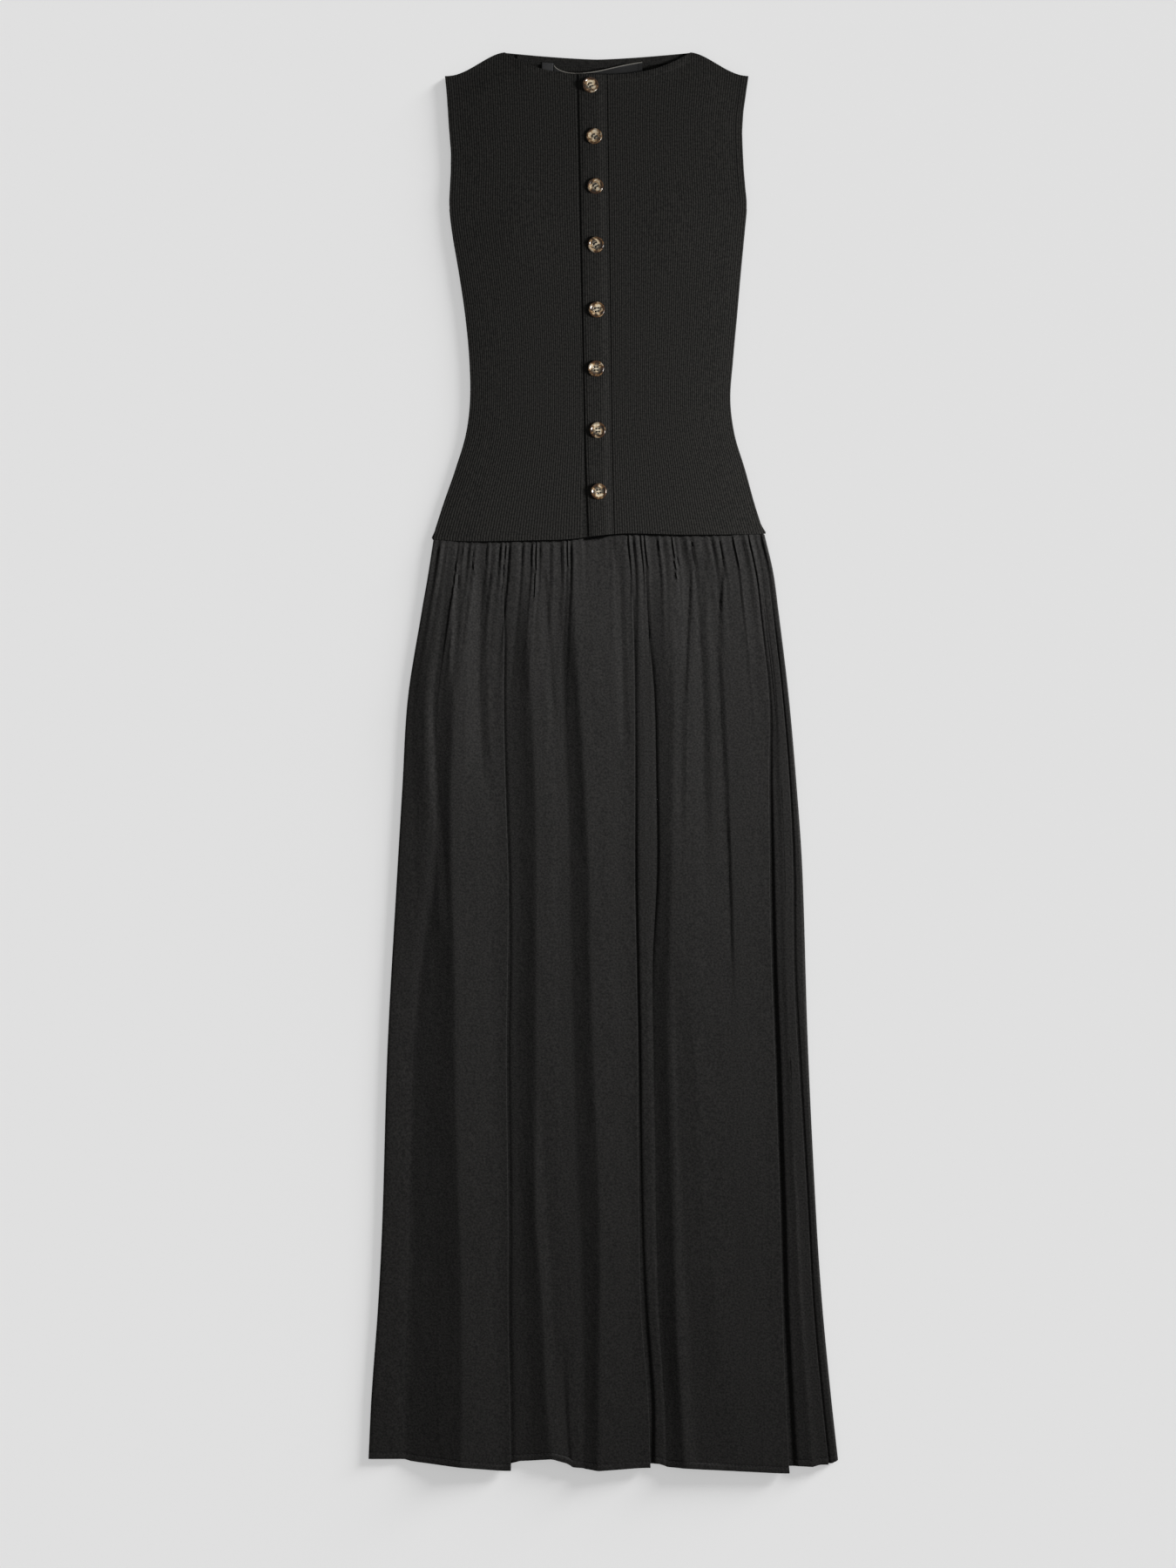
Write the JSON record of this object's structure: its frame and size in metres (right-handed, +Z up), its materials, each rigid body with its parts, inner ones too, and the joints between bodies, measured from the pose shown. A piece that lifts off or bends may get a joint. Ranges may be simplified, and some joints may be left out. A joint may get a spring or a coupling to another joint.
{
  "type": "sleeveless maxi dress",
  "caption": "Sleeveless maxi dress laid flat: ribbed knit bodice with a buttoned placket, dropped waist seam and long gathered satin skirt with overlapping folds.",
  "frame": {"origin": "centre of the dress's box, on the surface that it lies on", "axes": "+X to the right as the front is seen (the wearer's left), +Y towards the neck, +Z up from the surface"},
  "size_m": [0.458, 1.385, 0.0126],
  "materials": {
    "rib_knit": "black fine-rib knit, matte",
    "satin": "black woven viscose satin, soft low sheen",
    "label_satin": "black satin tape, glossy",
    "tab_tape": "dark grey woven tape",
    "tortoiseshell_resin": "polished tortoiseshell-effect resin"
  },
  "bodies": {
    "root": {"bodice_front_right": "rib_knit", "bodice_front_left": "rib_knit", "placket": "rib_knit", "bodice_back": "rib_knit", "back_neck_band": "rib_knit", "skirt_front": "satin", "skirt_back": "satin", "neck_label": "label_satin", "size_tab": "tab_tape", "button_1": "tortoiseshell_resin", "button_2": "tortoiseshell_resin", "button_3": "tortoiseshell_resin", "button_4": "tortoiseshell_resin", "button_5": "tortoiseshell_resin", "button_6": "tortoiseshell_resin", "button_7": "tortoiseshell_resin", "button_8": "tortoiseshell_resin"}
  },
  "joints": []
}
